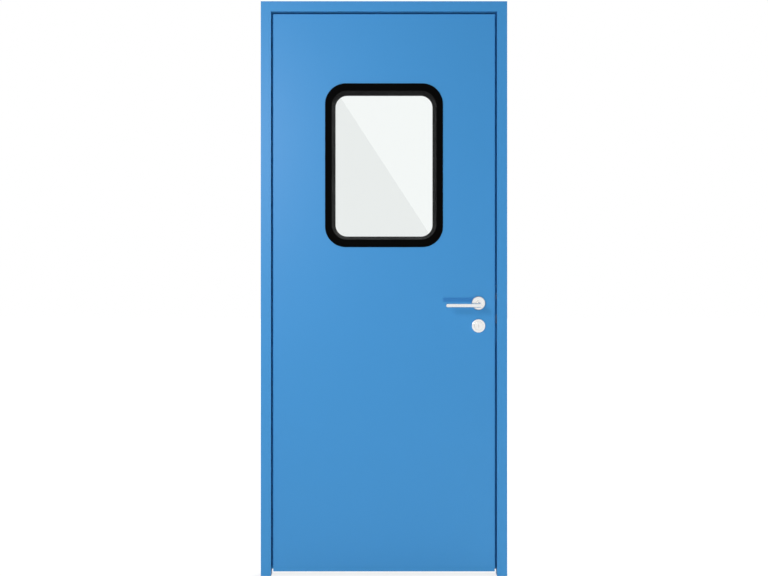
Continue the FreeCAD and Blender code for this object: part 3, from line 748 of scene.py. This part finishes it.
# a pale studio: floor, white surround, a broad soft lamp, a small low one, one beside the camera
# and three round the back
studioSet = {
    "middle": 0.45,         # of the door's width
    "floorSize": 60,
    "floorColour": colour(0.80, 0.80, 0.80),
    "floorRoughness": 0.9,
    "floorSheen": 0.1,
    "floorGlow": 0.72,      # how much of the floor's white is plain to the camera
    "floorWhite": 1.12,
    "fade": (1.2, 5.0),     # past this far from the door the floor is plain white
    "surround": 0.07,       # what the surround gives the matt surfaces
    "surroundTone": colour(0.85, 1.0, 1.15),
    "lamps": {
        # place, aimed at, size, power, tone, seen in gloss
        "softBox": ((-0.68, -1.95, 1.88), (0.40, 0, 1.25), 0.9, 25.5, (1.10, 1.0, 0.93), True),
        "lowLamp": ((2.15, -8.97, -2.69), (0.72, 0, 1.0), 0.21, 510, (0.95, 0.70, 0.41), False),
        "fillLamp": ((0.45, -5.6, 1.10), (0.45, 0, 1.05), 0.4, 77, (0.60, 0.87, 1.15), False),
        "backBox": ((1.9, 3.2, 2.6), (0.45, 0, 1.1), 1.8, 150, (1.0, 0.97, 0.93), True),
        "leftBox": ((-2.9, 0.7, 2.2), (0.0, 0.03, 1.1), 1.2, 60, (1.0, 1.0, 1.0), False),
        "rightBox": ((3.8, 0.7, 2.2), (0.9, 0.03, 1.1), 1.2, 60, (1.0, 1.0, 1.0), False),
    },
}


def backgroundRays(tree):
    # the rays that see the plain white: the camera's own, and those in metal and through glass
    path = Wire(tree).node("ShaderNodeLightPath").source.node
    seen, glossy, through = [Wire(tree, path.outputs["Is %s Ray" % kind])
                             for kind in ("Camera", "Glossy", "Transmission")]
    return seen.maths("MAXIMUM", seen.maths("MAXIMUM", seen, glossy), through)


def makeFloor():
    deselectAll()
    bpy.ops.mesh.primitive_plane_add(size=studioSet["floorSize"], location=(studioSet["middle"], 0, 0))
    floor = bpy.context.object
    floor.name = "studioFloor"
    floor.visible_shadow = False     # the low lamp stands under it
    material, shader, coords = newFinish("floorPaper", {
        "Base Color": studioSet["floorColour"], "Roughness": studioSet["floorRoughness"],
        "Specular IOR Level": studioSet["floorSheen"],
    })
    tree = material.node_tree
    seen = backgroundRays(tree)
    white = seen.node("ShaderNodeEmission", {},
                      {"Color": colour(1, 1, 1), "Strength": studioSet["floorWhite"]})
    near, far = studioSet["fade"]
    glow = coords.node("ShaderNodeMapRange", {}, {
        "Value": coords.length(), "From Min": near, "From Max": far,
        "To Min": studioSet["floorGlow"], "To Max": 1.0,
    })
    paper = Wire(tree, shader.outputs[0])
    mixed = seen.node("ShaderNodeMixShader", {}, {0: seen * glow, 1: paper, 2: white})
    out = next(n for n in tree.nodes if n.type == "OUTPUT_MATERIAL")
    tree.links.new(mixed.source, out.inputs["Surface"])
    floor.data.materials.append(material)


def makeSurround():
    world = bpy.data.worlds.new("studioSurround")
    bpy.context.scene.world = world
    world.cycles.sampling_method = "NONE"     # it is even all round, so nothing in it needs finding
    world.use_nodes = True
    tree = world.node_tree
    back = next(n for n in tree.nodes if n.type == "BACKGROUND")
    plain = backgroundRays(tree)
    strength = 1 - (1 - plain) * (1 - studioSet["surround"])
    tone = plain.blend(studioSet["surroundTone"], colour(1, 1, 1))
    connect(back, {"Strength": strength, "Color": tone})


def makeLamps():
    for name, (place, aim, size, power, tone, inGloss) in studioSet["lamps"].items():
        deselectAll()
        bpy.ops.object.light_add(type="AREA", location=place)
        lamp = bpy.context.object
        lamp.name = name
        lamp.data.shape = "DISK"
        lamp.data.size = size
        lamp.data.energy = power
        lamp.data.color = tone
        lamp.visible_camera = False
        lamp.visible_transmission = False
        lamp.visible_glossy = inGloss
        lamp.rotation_euler = (Vector(aim) - Vector(place)).to_track_quat("-Z", "Y").to_euler()


# a dark screen beside the camera, seen only in the pane: it makes the slanting reflection
screenSet = {
    "distance": 4.0,              # in front of the pane, metres
    "across": (-0.62, 0.379),     # from the camera
    "up": (0.375, 1.475),
    "cutFrom": -0.336,            # where the slanting edge starts at the top; it ends lower right
}


def makeScreen():
    left, right = [cameraSet["across"] + x for x in screenSet["across"]]
    foot, top = [cameraSet["height"] + z for z in screenSet["up"]]
    depth = -screenSet["distance"]
    deselectAll()
    bpy.ops.mesh.primitive_plane_add(size=1, rotation=(math.pi / 2, 0, 0),
                                     location=((left + right) / 2, depth, (foot + top) / 2))
    screen = bpy.context.object
    screen.name = "darkScreen"
    screen.scale = (right - left, top - foot, 1)
    bpy.ops.object.transform_apply(location=True, rotation=True, scale=True)
    bpy.ops.object.mode_set(mode="EDIT")
    bpy.ops.mesh.select_all(action="SELECT")
    cutWidth = right - cameraSet["across"] - screenSet["cutFrom"]
    slant = Vector((top - foot, 0, cutWidth)).normalized()
    bpy.ops.mesh.bisect(plane_co=(right, depth, foot), plane_no=slant, clear_outer=True)
    bpy.ops.object.mode_set(mode="OBJECT")
    black = {"Base Color": colour(0, 0, 0), "Specular IOR Level": 0}
    screen.data.materials.append(newFinish("screenCloth", black)[0])
    for ray in ("camera", "diffuse", "shadow", "transmission"):
        setattr(screen, "visible_" + ray, False)


makeFloor()
makeSurround()
makeLamps()
makeScreen()
bpy.context.scene.view_settings.view_transform = "Standard"
print("studio lit")
